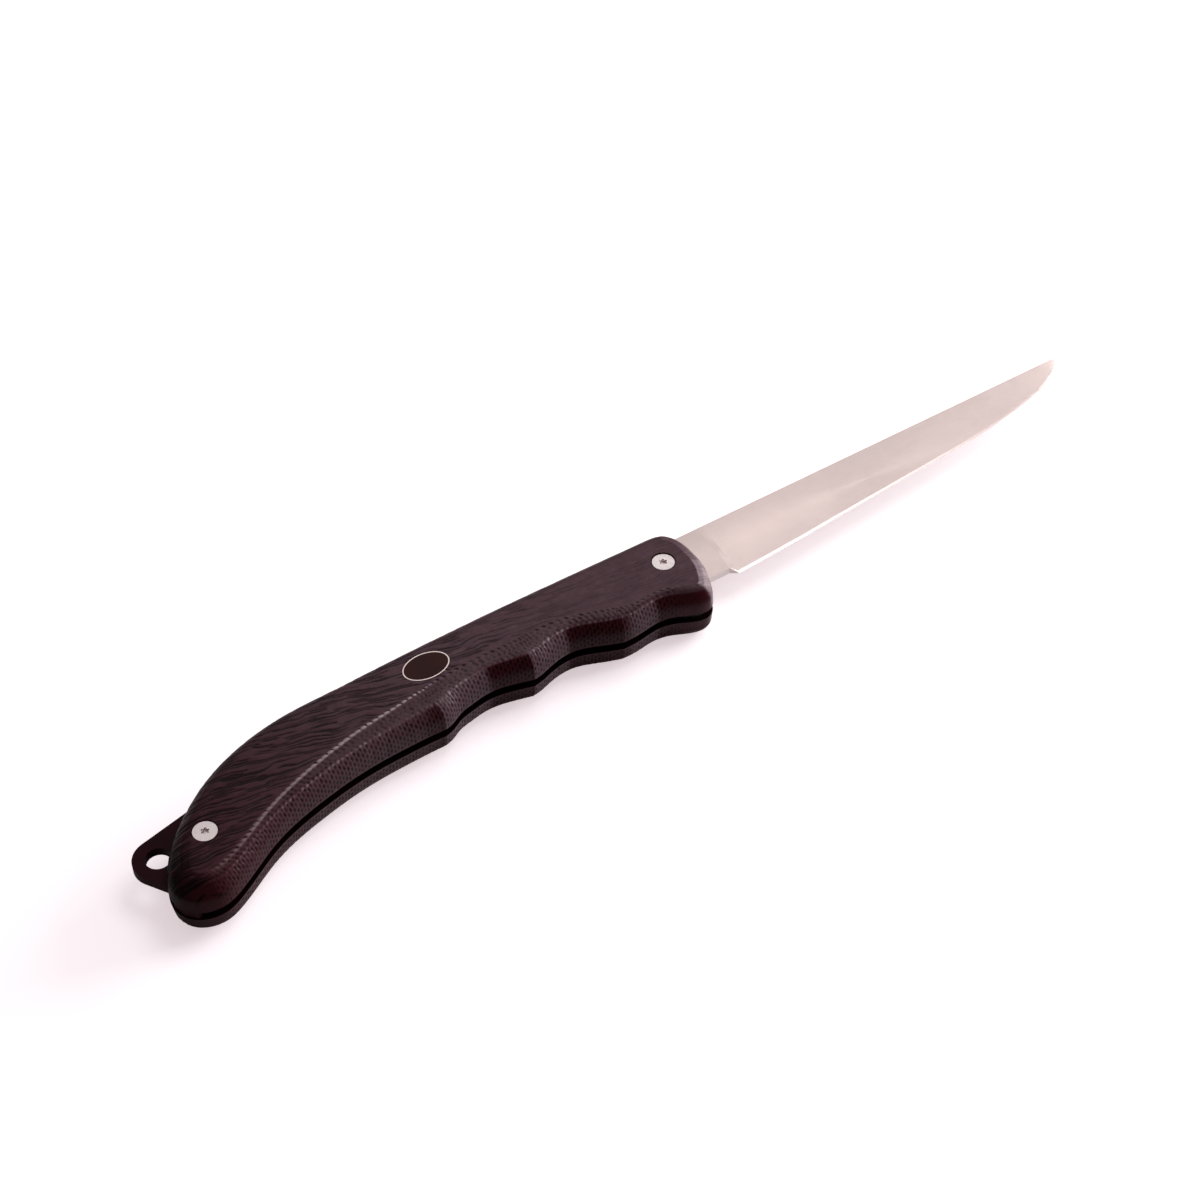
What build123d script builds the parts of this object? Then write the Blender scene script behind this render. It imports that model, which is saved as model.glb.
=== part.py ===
from build123d import *
import math
import os

os.makedirs("parts", exist_ok=True)

# A folding fillet knife that lies on its side, open, with its lock held off.
# The origin is where the pivot axis meets the plane that the knife lies on.
# +X runs to the blade's tip, +Y to its back and +Z up through the handle's thickness.
# Two-number points are X and Y. Lists of shares are shares of the sizes named beside them.

# Blade: sizes from the pivot axis
blade_reach = 157.5
blade_back = 12.0
blade_height = 20.3
blade_thickness = 2.0
ricasso_reach = 18.4
ricasso_drop = 6.0
plunge_slant = 2.0
heel_step = 1.8
bevel_width = 0.85
bevel_thickness = 0.48
edge_thickness = 0.06
tip_height = 0.4
tip_thinning_share = 0.5
fold_angle = 175

# Cutting edge after the heel: reach along the blade and height of the blade there
edge_shares = [
    (0.200, 0.972),
    (0.268, 0.941),
    (0.414, 0.857),
    (0.514, 0.803),
    (0.616, 0.749),
    (0.690, 0.704),
    (0.744, 0.660),
    (0.785, 0.611),
    (0.825, 0.557),
    (0.866, 0.490),
    (0.902, 0.417),
    (0.932, 0.331),
    (0.957, 0.236),
    (0.979, 0.130),
]

# Tang and its lock notch
tang_radius = 7.6
notch_depth = 1.5
notch_front = 2.8
notch_rear = 0.9
closed_flat_drop = 5.6

# Pivot and rear fastening
barrel_radius = 2.5
thread_radius = 1.5
fit_clearance = 0.05
screw_head_radius = 3.1
screw_head_thickness = 1.5
screw_shank_length = 5.5
head_recess = 0.3
head_ring_gap = 0.25
star_radius = 0.85
star_lobe_radius = 0.32
star_depth = 0.8
star_lobes = 6
washer_radius = 5.5
washer_thickness = 0.25
washer_play = 0.05

# Handle
tip_room = 3.5
spine_reveal = 0.3
grip_thickness = 7.7
liner_thickness = 1.2
liner_inset = 2.0
liner_gap = 0.1
slot_width = blade_thickness + 2 * (washer_thickness + washer_play)
handle_reach = blade_reach + tip_room
handle_back = blade_back + spine_reveal
handle_thickness = 2 * grip_thickness + slot_width
mid_z = grip_thickness + slot_width / 2

# Outline of the handle at the slot, counterclockwise: X in shares of handle_reach, Y in shares of
# handle_back, then how far the shoulder and the flat crown lie inside it, in shares of grip_thickness.
peak_1_shares = (-0.480, -1.020, 0.31, 1.16)
peak_2_shares = (-0.3045, -0.880, 0.31, 1.08)
peak_3_shares = (-0.136, -1.060, 0.31, 0.72)
groove_1_shares = [
    (-0.465, -0.960, 0.28, 1.14),
    (-0.444, -0.820, 0.27, 0.98),
    (-0.416, -0.725, 0.27, 0.86),
    (-0.388, -0.665, 0.27, 0.79),
    (-0.363, -0.675, 0.27, 0.79),
    (-0.336, -0.755, 0.28, 0.90),
]
groove_2_shares = [
    (-0.288, -0.840, 0.28, 1.04),
    (-0.268, -0.760, 0.27, 0.93),
    (-0.242, -0.680, 0.27, 0.78),
    (-0.214, -0.675, 0.27, 0.68),
    (-0.186, -0.785, 0.27, 0.65),
    (-0.161, -0.930, 0.28, 0.68),
]
nose_shares = [
    (-0.115, -1.060, 0.28, 0.56),
    (-0.087, -1.020, 0.27, 0.46),
    (-0.059, -0.990, 0.27, 0.44),
    (-0.034, -1.060, 0.27, 0.46),
    (-0.012, -1.200, 0.26, 0.50),
    (0.006, -1.300, 0.26, 0.54),
    (0.022, -1.315, 0.26, 0.56),
    (0.037, -1.220, 0.22, 0.54),
    (0.051, -0.910, 0.18, 0.50),
    (0.063, -0.500, 0.16, 0.50),
    (0.0665, -0.020, 0.16, 0.50),
    (0.064, 0.440, 0.16, 0.52),
    (0.052, 0.765, 0.16, 0.54),
    (0.034, 0.925, 0.16, 0.56),
]
spine_shares = [
    (0.004, 0.962, 0.15, 0.58),
    (-0.124, 0.996, 0.15, 0.58),
    (-0.310, 1.026, 0.15, 0.58),
    (-0.497, 0.998, 0.15, 0.58),
    (-0.621, 0.960, 0.16, 0.60),
    (-0.696, 0.925, 0.17, 0.62),
    (-0.758, 0.790, 0.18, 0.64),
    (-0.807, 0.597, 0.20, 0.66),
    (-0.853, 0.325, 0.22, 0.70),
    (-0.890, 0.022, 0.25, 0.72),
    (-0.923, -0.322, 0.28, 0.74),
]
butt_shares = [
    (-0.952, -0.680, 0.32, 0.78),
    (-0.976, -1.080, 0.36, 0.82),
    (-0.993, -1.490, 0.40, 0.83),
    (-0.998, -1.830, 0.42, 0.83),
    (-0.992, -2.130, 0.43, 0.83),
    (-0.977, -2.355, 0.42, 0.80),
    (-0.955, -2.475, 0.38, 0.76),
    (-0.929, -2.475, 0.34, 0.70),
]
heel_side_shares = [
    (-0.903, -2.340, 0.28, 0.60),
    (-0.866, -2.065, 0.24, 0.50),
    (-0.814, -1.680, 0.22, 0.48),
    (-0.764, -1.430, 0.22, 0.55),
    (-0.708, -1.240, 0.22, 0.65),
    (-0.652, -1.098, 0.23, 0.74),
    (-0.596, -1.022, 0.24, 0.86),
    (-0.540, -1.002, 0.26, 0.98),
    (-0.503, -1.005, 0.28, 1.10),
]
# Rounding of the grip's edge: height in shares of grip_thickness, then how much of the shoulder
# and how much of the step from the shoulder to the crown is reached there
level_shares = [
    (0.00, 0.00, 0.00),
    (0.48, 0.15, 0.00),
    (0.66, 0.50, 0.00),
    (0.80, 1.00, 0.00),
    (0.93, 1.00, 0.37),
    (1.00, 1.00, 1.00),
]

# Rear fastening and lanyard plate
rear_screw_shares = (-0.908, -1.080)
lanyard_hole_shares = (-0.9785, -0.700)
lanyard_hole_radius = 3.25
lanyard_wall = 3.2
plate_root_shares = (-0.866, 0.147)
plate_heel_shares = (-0.988, -1.50)
plate_length = 48.0
plate_inset = 0.3
plate_blade_gap = 0.8
plate_arm_width = 9.3
plate_pin_radius = 1.0
plate_pin_back = 10.5
plate_pin_depth = 5.0

# Lock
lock_play = 0.2
lock_neck_gap = 0.4
lock_tooth_gap = 0.3
lock_pin_radius = 1.5
lock_pin_drop = 3.5
lock_pin_share = 0.518
lock_tail_depth = 5.0
lock_tail_share = 0.41
lock_web_depth = 7.0
lock_web_front = 10.0
lock_web_rear = 12.0
lock_neck_reach = 26.0
lock_end_gap = 1.0
spring_thickness = 0.7
spring_seat_length = 8.0
spring_touch_share = 0.56
stop_pin_radius = 1.0
thumb_dish_radius = 11.0
thumb_dish_depth = 3.0
thumb_dish_share = 0.72

# Badge in the upper grip
badge_shares = (-0.4565, 0.254)
badge_length = 13.2
badge_width = 9.0
badge_depth = 0.9
badge_rim_width = 0.3

# One overrun for every cut that passes a face
overrun = 2.0


def placed(shares):
    """A point of the handle from its two shares."""
    return (shares[0] * handle_reach, shares[1] * handle_back)


def folded(x, y):
    """Where a point of the open blade lies once the blade is folded: turned clockwise about the pivot."""
    turn = math.radians(fold_angle)
    return (x * math.cos(turn) + y * math.sin(turn), y * math.cos(turn) - x * math.sin(turn))


def edge_y(height_share):
    """Y of the cutting edge where the blade has this share of its full height."""
    return blade_back - height_share * blade_height


def disc(x, y, radius, low, high):
    """A round bar along Z from low to high."""
    return Pos(x, y, (low + high) / 2) * Cylinder(radius, high - low)


def slab(points, low, high):
    """A flat plate with a polygon outline, from low to high."""
    return Pos(0, 0, low) * extrude(make_face(Polyline(*points, close=True)), high - low)


# Handle outline: one closed loop of points with three crisp peaks, each with its inward direction
loop_shares = (
    [peak_3_shares]
    + nose_shares
    + spine_shares
    + butt_shares
    + heel_side_shares
    + [peak_1_shares]
    + groove_1_shares
    + [peak_2_shares]
    + groove_2_shares
)
peak_places = [loop_shares.index(peak) for peak in (peak_3_shares, peak_1_shares, peak_2_shares)]


def inset_loop(insets):
    """The outline's points, each moved inwards by its own distance, square to the outline."""
    points = [placed(shares) for shares in loop_shares]
    moved = []
    for place, (x, y) in enumerate(points):
        before = points[place - 2]
        after = points[(place + 2) % len(points)]
        run = (after[0] - before[0], after[1] - before[1])
        length = math.hypot(*run)
        moved.append((x - insets[place] * run[1] / length, y + insets[place] * run[0] / length))
    return moved


def outline_wire(insets, z):
    """The outline as three smooth edges between the peaks, at height z."""
    points = [(x, y, z) for x, y in inset_loop(insets)]
    points.append(points[0])
    ends = peak_places + [len(points) - 1]
    return Wire([Spline(*points[first : last + 1]) for first, last in zip(ends, ends[1:])])


def outline_slab(inset, low, high):
    """A plate with the handle's outline, drawn in evenly by one inset."""
    wire = outline_wire([inset] * len(loop_shares), low)
    return extrude(Face(wire), high - low, dir=(0, 0, 1))


def grip_blank():
    """The upper grip half before its pockets: the outline at the slot, drawn in level by level."""
    base = grip_thickness + slot_width
    wires = []
    for height, shoulder_part, crown_part in level_shares:
        insets = []
        for shares in loop_shares:
            shoulder, crown = shares[2:]
            insets.append((shoulder * shoulder_part + (crown - shoulder) * crown_part) * grip_thickness)
        wires.append(outline_wire(insets, base + height * grip_thickness))
    return Solid.make_loft(wires, ruled=True)


def spine_y(x):
    """Y of the handle's back at a place along it."""
    points = [placed(shares) for shares in spine_shares]
    for (front_x, front_y), (rear_x, rear_y) in zip(points, points[1:]):
        if rear_x <= x <= front_x:
            return front_y + (rear_y - front_y) * (front_x - x) / (front_x - rear_x)
    return handle_back


# Along the slot from the pivot: the lock bar's pin, its tail's shares and end, then the lanyard plate
plate_front = handle_reach - plate_length
lock_tail_reach = plate_front - lock_end_gap
lock_pin_reach = lock_pin_share * lock_tail_reach


def tail_place(share):
    """X of a place between the lock bar's pin and its tail's end, from its share of the way."""
    return -lock_pin_reach - share * (lock_tail_reach - lock_pin_reach)


def thumb_dish():
    """The hollow in the back over the lock bar's tail, where the thumb presses it."""
    back = handle_back - thumb_dish_depth + thumb_dish_radius
    return Pos(tail_place(thumb_dish_share), back, mid_z) * Sphere(thumb_dish_radius)


def on_other_side(shape):
    """The shape mirrored about the handle's middle plane."""
    return mirror(shape, about=Plane.XY.offset(mid_z))


pivot_place = (0.0, 0.0)
rear_place = placed(rear_screw_shares)
counterbore_depth = head_recess + screw_head_thickness
hole_radius = barrel_radius + fit_clearance


def grip():
    """The upper grip half with its liner pocket, barrel holes, counterbores and thumb dish."""
    low = grip_thickness + slot_width
    pocket_inset = liner_inset - liner_gap
    shape = grip_blank() - outline_slab(pocket_inset, low - overrun, low + liner_thickness)
    for x, y in (pivot_place, rear_place):
        shape -= disc(x, y, hole_radius, low - overrun, handle_thickness + overrun)
        bore_radius = screw_head_radius + head_ring_gap
        shape -= disc(x, y, bore_radius, handle_thickness - counterbore_depth, handle_thickness + overrun)
    return shape - thumb_dish()


def badge_disc(inset, low, high):
    """An oval plate at the badge's place, drawn in by an inset."""
    oval = Ellipse(badge_length / 2 - inset, badge_width / 2 - inset)
    x, y = placed(badge_shares)
    return Pos(x, y, low) * extrude(oval, high - low)


def liner():
    """The steel liner in the upper grip's pocket."""
    low = grip_thickness + slot_width
    high = low + liner_thickness
    shape = outline_slab(liner_inset, low, high)
    for x, y in (pivot_place, rear_place):
        shape -= disc(x, y, hole_radius, low - overrun, high + overrun)
    for x, y, radius in ((*lock_pin_place, lock_pin_radius), (*stop_place, stop_pin_radius), plate_pin_spot):
        shape -= disc(x, y, radius + fit_clearance, low - overrun, high + overrun)
    return shape - thumb_dish()


def barrel(x, y):
    """A threaded sleeve from one counterbore's floor to the other's."""
    low = counterbore_depth
    high = handle_thickness - counterbore_depth
    return disc(x, y, barrel_radius, low, high) - disc(x, y, thread_radius, low - overrun, high + overrun)


def screw(x, y):
    """A flat-headed screw with a six-lobed recess, in the upper counterbore."""
    top = handle_thickness - head_recess
    under = top - screw_head_thickness
    shape = disc(x, y, screw_head_radius, under, top)
    shape += disc(x, y, thread_radius - fit_clearance, under - screw_shank_length, under)
    shape -= disc(x, y, star_radius, top - star_depth, top + overrun)
    for lobe in range(star_lobes):
        turn = 2 * math.pi * lobe / star_lobes
        lobe_x = x + star_radius * math.cos(turn)
        lobe_y = y + star_radius * math.sin(turn)
        shape -= disc(lobe_x, lobe_y, star_lobe_radius, top - star_depth, top + overrun)
    return shape


def washer():
    """The bearing washer between the tang and the upper liner."""
    high = grip_thickness + slot_width
    low = high - washer_thickness
    return disc(0, 0, washer_radius, low, high) - disc(0, 0, hole_radius, low - overrun, high + overrun)


def blade_section(x, x_back, height_share, back_half, bevel_half, edge_half):
    """One cross-section of the ground blade: back, bevel line and cutting edge, each with two points."""
    low = edge_y(height_share)
    bevel = low + bevel_width * math.sqrt(height_share)
    bevel_x = x + (x_back - x) * (bevel - low) / (blade_back - low)
    points = [
        (x_back, blade_back, mid_z + back_half),
        (x_back, blade_back, mid_z - back_half),
        (bevel_x, bevel, mid_z - bevel_half),
        (x, low, mid_z - edge_half),
        (x, low, mid_z + edge_half),
        (bevel_x, bevel, mid_z + bevel_half),
    ]
    return Wire(Polyline(*points, close=True).edges())


def blade_ground_part():
    """The ground part of the blade, from the plunge line to the tip, section by section."""
    half = blade_thickness / 2
    ricasso_share = (blade_back + ricasso_drop) / blade_height
    plunge_back = ricasso_reach + plunge_slant
    heel = ricasso_reach + heel_step
    sections = [blade_section(ricasso_reach, plunge_back, ricasso_share, half, half, half)]
    stations = [(heel, 1.0)]
    stations += [(reach_share * blade_reach, height_share) for reach_share, height_share in edge_shares]
    stations += [(blade_reach, tip_height / blade_height)]
    for x, height_share in stations:
        slant = plunge_slant * (blade_reach - x) / (blade_reach - heel)
        thinning = 1 - tip_thinning_share * (x - heel) / (blade_reach - heel)
        sections.append(
            blade_section(
                x,
                x + slant,
                height_share,
                half * thinning,
                bevel_thickness / 2 * thinning,
                edge_thickness / 2,
            )
        )
    return Solid.make_loft(sections, ruled=True)


def tang():
    """The flat tang round the pivot, with the open notch above it and the closed flat below it."""
    low = mid_z - blade_thickness / 2
    high = mid_z + blade_thickness / 2
    notch_floor = tang_radius - notch_depth
    shape = disc(0, 0, tang_radius, low, high)
    below = [
        (-tang_radius - overrun, -closed_flat_drop),
        (-tang_radius - overrun, -tang_radius - overrun),
        (tang_radius + overrun, -tang_radius - overrun),
        (tang_radius + overrun, -closed_flat_drop),
    ]
    notch = [
        (-notch_rear, notch_floor),
        (notch_front, notch_floor),
        (notch_front, tang_radius + overrun),
        (-notch_rear, tang_radius + overrun),
    ]
    shape -= slab(below, low - overrun, high + overrun)
    ricasso = [
        (notch_front, blade_back),
        (notch_front, notch_floor),
        (0, notch_floor),
        (0, -closed_flat_drop),
        (tang_radius, -ricasso_drop),
        (ricasso_reach, -ricasso_drop),
        (ricasso_reach + plunge_slant, blade_back),
    ]
    shape += slab(ricasso, low, high)
    shape -= slab(notch, low - overrun, high + overrun)
    return shape


def blade():
    """Tang and ground part in one piece, with the pivot hole."""
    shape = tang() + blade_ground_part()
    return shape - disc(0, 0, hole_radius, mid_z - overrun, mid_z + overrun)


# Lock bar: drawn with its tooth in the notch, then rocked on its pin until the tooth clears the tang
lock_pin_place = (-lock_pin_reach, blade_back - lock_pin_drop)
tooth_bottom = tang_radius - notch_depth + lock_play
lock_lift = tang_radius + lock_tooth_gap - tooth_bottom
lock_angle = math.degrees(math.asin(lock_lift / (lock_pin_reach - notch_rear)))
heel_folded_y = folded(ricasso_reach + heel_step, edge_y(1.0))[1]
neck_under = max(tang_radius, heel_folded_y) + lock_neck_gap
tail_back = spine_y(-lock_tail_reach) - lock_play


def lock_bar():
    """The bar along the back: tooth, neck over the tang, web round its pin and tail for the thumb."""
    web_under = blade_back - lock_web_depth
    tail_under = tail_back - lock_tail_depth
    tail_start = tail_place(lock_tail_share)
    points = [
        (notch_front - lock_play, blade_back),
        (tail_start, blade_back),
        (-lock_tail_reach, tail_back),
        (-lock_tail_reach, tail_under),
        (tail_start, tail_under),
        (-lock_pin_reach - lock_web_rear, web_under),
        (-lock_pin_reach + lock_web_front, web_under),
        (-lock_neck_reach, neck_under),
        (-notch_rear + lock_play / 2, neck_under),
        (-notch_rear + lock_play / 2, tooth_bottom),
        (notch_front - lock_play, tooth_bottom),
    ]
    half = blade_thickness / 2
    x, y = lock_pin_place
    shape = slab(points, mid_z - half, mid_z + half)
    shape -= disc(x, y, lock_pin_radius + fit_clearance, mid_z - overrun, mid_z + overrun)
    return shape.rotate(Axis((x, y, 0), (0, 0, 1)), lock_angle)


# Stop pin: it meets the folded ricasso's unsharpened edge
ricasso_middle = (tang_radius + ricasso_reach) / 2
stop_gap = stop_pin_radius + lock_play / 2
stop_place = folded(ricasso_middle, -ricasso_drop - stop_gap)

# Lanyard plate: it fills the slot at the butt, outside the folded blade
plate_pin_x = -plate_front - plate_pin_back
plate_pin_spot = (plate_pin_x, spine_y(plate_pin_x) - plate_pin_depth, plate_pin_radius)
lanyard_place = placed(lanyard_hole_shares)


def tangent_point(point, centre, radius, side):
    """Where the line from a point touches a circle, on its left (side 1) or right (side -1)."""
    dx, dy = centre[0] - point[0], centre[1] - point[1]
    away = math.hypot(dx, dy)
    turn = math.atan2(dy, dx) + side * math.asin(radius / away)
    run = math.sqrt(away**2 - radius**2)
    return (point[0] + run * math.cos(turn), point[1] + run * math.sin(turn))


def plate_blade_side():
    """The plate's edge beside the folded blade: round its tip, then along its cutting edge."""
    tip = folded(blade_reach, blade_back)
    reach = math.hypot(*tip) + plate_blade_gap
    arm_end = placed(butt_shares[5])[1] + plate_inset
    points = [(-math.sqrt(reach**2 - y**2), y) for y in (arm_end, (arm_end + tip[1]) / 2, tip[1])]
    for reach_share, height_share in reversed(edge_shares[6:]):
        points.append(folded(reach_share * blade_reach, edge_y(height_share) - plate_blade_gap))
    return points


def lanyard_plate():
    """The black plate between the grips at the butt, with its tab and lanyard hole."""
    low = grip_thickness
    high = grip_thickness + slot_width
    loop = inset_loop([plate_inset] * len(loop_shares))
    root = placed(plate_root_shares)
    heel = placed(plate_heel_shares)
    tab_radius = lanyard_hole_radius + lanyard_wall
    spine_part = [point for point in loop[: len(loop) // 2] if root[0] < point[0] < -plate_front]
    outermost = loop_shares.index(min(butt_shares))
    butt_part = loop[outermost : outermost + 3]
    upper = tangent_point(root, lanyard_place, tab_radius, -1)
    lower = tangent_point(heel, lanyard_place, tab_radius, 1)
    arm_under = tail_back - plate_arm_width
    blade_side = plate_blade_side()
    points = [(-plate_front, tail_back)] + spine_part + [root, upper, lower, heel] + butt_part
    points += blade_side + [(-plate_front - plate_arm_width, arm_under), (-plate_front, arm_under)]
    shape = slab(points, low, high) + disc(*lanyard_place, tab_radius, low, high)
    shape -= disc(*lanyard_place, lanyard_hole_radius, low - overrun, high + overrun)
    shape -= disc(*rear_place, hole_radius, low - overrun, high + overrun)
    x, y, radius = plate_pin_spot
    shape -= disc(x, y, radius + fit_clearance, low - overrun, high + overrun)
    return shape - spring_seat(fit_clearance)


def spring_seat(clearance):
    """The part of the leaf spring that is held in the lanyard plate, with a clearance all round."""
    low_y = spring_root_y - clearance
    high_y = spring_root_y + spring_thickness + clearance
    far = -plate_front - spring_seat_length - clearance
    points = [(far, low_y), (-plate_front + overrun, low_y), (-plate_front + overrun, high_y), (far, high_y)]
    return slab(points, grip_thickness - overrun, grip_thickness + slot_width + overrun)


def under_lifted_bar(reach):
    """Y of the underside of the bar's tail at rest, with the tooth lifted and the tail pressed down."""
    drop = (reach - lock_pin_reach) * math.sin(math.radians(lock_angle))
    return tail_back - lock_tail_depth - drop


spring_touch_x = tail_place(spring_touch_share)
spring_root_y = under_lifted_bar(plate_front) - 2 * spring_thickness
spring_touch_y = under_lifted_bar(-spring_touch_x) - spring_thickness - lock_play


def lock_spring():
    """The leaf spring: held flat in the plate, then rising to the underside of the bar's tail."""
    half = blade_thickness / 2
    points = [
        (-plate_front - spring_seat_length, spring_root_y),
        (-lock_tail_reach, spring_root_y),
        (spring_touch_x, spring_touch_y),
        (spring_touch_x, spring_touch_y + spring_thickness),
        (-lock_tail_reach, spring_root_y + spring_thickness),
        (-plate_front - spring_seat_length, spring_root_y + spring_thickness),
    ]
    return slab(points, mid_z - half, mid_z + half)


def liner_pin(x, y, radius):
    """A plain pin from the outer face of one liner to that of the other."""
    return disc(x, y, radius, grip_thickness - liner_thickness, handle_thickness - grip_thickness + liner_thickness)


badge_floor = handle_thickness - badge_depth
upper_grip = grip()
upper_liner = liner()
pivot_screw = screw(*pivot_place)
rear_screw = screw(*rear_place)
upper_washer = washer()

nodes = {
    "blade": blade(),
    "pivot_barrel": barrel(*pivot_place),
    "pivot_screw_top": pivot_screw,
    "pivot_screw_bottom": on_other_side(pivot_screw),
    "washer_top": upper_washer,
    "washer_bottom": on_other_side(upper_washer),
    "liner_top": upper_liner,
    "liner_bottom": on_other_side(upper_liner),
    "grip_top": upper_grip - badge_disc(-fit_clearance, badge_floor, handle_thickness + overrun),
    "grip_bottom": on_other_side(upper_grip),
    "lanyard_plate": lanyard_plate(),
    "rear_barrel": barrel(*rear_place),
    "rear_screw_top": rear_screw,
    "rear_screw_bottom": on_other_side(rear_screw),
    "lock_bar": lock_bar(),
    "lock_pin": liner_pin(*lock_pin_place, lock_pin_radius),
    "lock_spring": lock_spring(),
    "stop_pin": liner_pin(*stop_place, stop_pin_radius),
    "plate_pin": liner_pin(*plate_pin_spot),
    "badge_rim": badge_disc(0, badge_floor, handle_thickness)
    - badge_disc(badge_rim_width, badge_floor - overrun, handle_thickness + overrun),
    "badge_plate": badge_disc(badge_rim_width + fit_clearance, badge_floor, handle_thickness),
}

for node, shape in nodes.items():
    export_step(shape, "parts/" + node + ".step")
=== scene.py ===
import math

import bmesh
import bpy
import numpy as np
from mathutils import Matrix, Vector
from mathutils.geometry import delaunay_2d_cdt


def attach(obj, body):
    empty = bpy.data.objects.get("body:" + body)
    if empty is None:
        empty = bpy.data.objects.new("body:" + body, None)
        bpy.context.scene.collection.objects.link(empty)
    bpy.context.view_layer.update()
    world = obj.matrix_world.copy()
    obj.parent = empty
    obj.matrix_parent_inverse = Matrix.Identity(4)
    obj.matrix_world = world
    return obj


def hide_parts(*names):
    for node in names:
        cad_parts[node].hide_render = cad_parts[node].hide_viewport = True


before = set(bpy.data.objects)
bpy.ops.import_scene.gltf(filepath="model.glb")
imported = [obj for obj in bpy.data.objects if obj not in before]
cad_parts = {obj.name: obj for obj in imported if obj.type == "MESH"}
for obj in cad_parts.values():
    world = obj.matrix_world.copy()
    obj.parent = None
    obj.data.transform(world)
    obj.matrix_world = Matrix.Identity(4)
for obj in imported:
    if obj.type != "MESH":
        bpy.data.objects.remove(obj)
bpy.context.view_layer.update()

# The looks of a folding fillet knife: textured grips, ground blade, screws and a bare oval badge.
# Sizes are in millimetres until a mesh is made. X runs to the tip, Y to the blade's back and Z up.
MM = 0.001

# Camera: fitted to the photo, whose frame is square
camera_place = (-263.33, -352.42, 442.67)
camera_direction = (0.40079, 0.58256, -0.70711)
camera_lens = 67.5
camera_sensor = 36.0
camera_clip = (0.01, 20)

# Handle: the same sizes and shares as the solids
blade_reach = 157.5
blade_back = 12.0
handle_reach = blade_reach + 3.5
handle_back = blade_back + 0.3
grip_thickness = 7.7
slot_width = 2.6
handle_thickness = 2 * grip_thickness + slot_width
mid_z = handle_thickness / 2
slot_face_z = mid_z + slot_width / 2
pocket_inset = 1.9
pocket_depth = 1.2
lip_inset = 0.12

# Outline points: x as a share of handle_reach, y as a share of handle_back, and how far inside of them
# the shoulder and the crown lie, as shares of grip_thickness
peak_1_shares = (-0.480, -1.020, 0.31, 1.16)
peak_2_shares = (-0.3045, -0.880, 0.31, 1.08)
peak_3_shares = (-0.136, -1.060, 0.31, 0.72)
groove_1_shares = [
    (-0.465, -0.960, 0.28, 1.14),
    (-0.444, -0.820, 0.27, 0.98),
    (-0.416, -0.725, 0.27, 0.86),
    (-0.388, -0.665, 0.27, 0.79),
    (-0.363, -0.675, 0.27, 0.79),
    (-0.336, -0.755, 0.28, 0.90),
]
groove_2_shares = [
    (-0.288, -0.840, 0.28, 1.04),
    (-0.268, -0.760, 0.27, 0.93),
    (-0.242, -0.680, 0.27, 0.78),
    (-0.214, -0.675, 0.27, 0.68),
    (-0.186, -0.785, 0.27, 0.65),
    (-0.161, -0.930, 0.28, 0.68),
]
nose_shares = [
    (-0.115, -1.060, 0.28, 0.56),
    (-0.087, -1.020, 0.27, 0.46),
    (-0.059, -0.990, 0.27, 0.44),
    (-0.034, -1.060, 0.27, 0.46),
    (-0.012, -1.200, 0.26, 0.50),
    (0.006, -1.300, 0.26, 0.54),
    (0.022, -1.315, 0.26, 0.56),
    (0.037, -1.220, 0.22, 0.54),
    (0.051, -0.910, 0.18, 0.50),
    (0.063, -0.500, 0.16, 0.50),
    (0.0665, -0.020, 0.16, 0.50),
    (0.064, 0.440, 0.16, 0.52),
    (0.052, 0.765, 0.16, 0.54),
    (0.034, 0.925, 0.16, 0.56),
]
spine_shares = [
    (0.004, 0.962, 0.15, 0.58),
    (-0.124, 0.996, 0.15, 0.58),
    (-0.310, 1.026, 0.15, 0.58),
    (-0.497, 0.998, 0.15, 0.58),
    (-0.621, 0.960, 0.16, 0.60),
    (-0.696, 0.925, 0.17, 0.62),
    (-0.758, 0.790, 0.18, 0.64),
    (-0.807, 0.597, 0.20, 0.66),
    (-0.853, 0.325, 0.22, 0.70),
    (-0.890, 0.022, 0.25, 0.72),
    (-0.923, -0.322, 0.28, 0.74),
]
butt_shares = [
    (-0.952, -0.680, 0.32, 0.78),
    (-0.976, -1.080, 0.36, 0.82),
    (-0.993, -1.490, 0.40, 0.83),
    (-0.998, -1.830, 0.42, 0.83),
    (-0.992, -2.130, 0.43, 0.83),
    (-0.977, -2.355, 0.42, 0.80),
    (-0.955, -2.475, 0.38, 0.76),
    (-0.929, -2.475, 0.34, 0.70),
]
heel_side_shares = [
    (-0.903, -2.340, 0.28, 0.60),
    (-0.866, -2.065, 0.24, 0.50),
    (-0.814, -1.680, 0.22, 0.48),
    (-0.764, -1.430, 0.22, 0.55),
    (-0.708, -1.240, 0.22, 0.65),
    (-0.652, -1.098, 0.23, 0.74),
    (-0.596, -1.022, 0.24, 0.86),
    (-0.540, -1.002, 0.26, 0.98),
    (-0.503, -1.005, 0.28, 1.10),
]

# Levels of the wall: height as a share of grip_thickness, how much of the way in to the shoulder is
# reached there, and how much of the way from the shoulder to the crown
shoulder_level = 3
level_shares = [
    (0.00, 0.00, 0.00),
    (0.48, 0.15, 0.00),
    (0.66, 0.50, 0.00),
    (0.80, 1.00, 0.00),
    (0.93, 1.00, 0.37),
    (1.00, 1.00, 1.00),
]

# How much of the belly's pattern each outline point carries, from none to all
nose_belly_shares = [1.0, 1.0, 0.9, 0.6, 0.2, 0.0, 0.0, 0.0, 0.0, 0.0, 0.0, 0.0, 0.0, 0.0]
butt_belly_shares = [0.0, 0.0, 0.0, 0.0, 0.0, 0.0, 0.1, 0.5]

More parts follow.
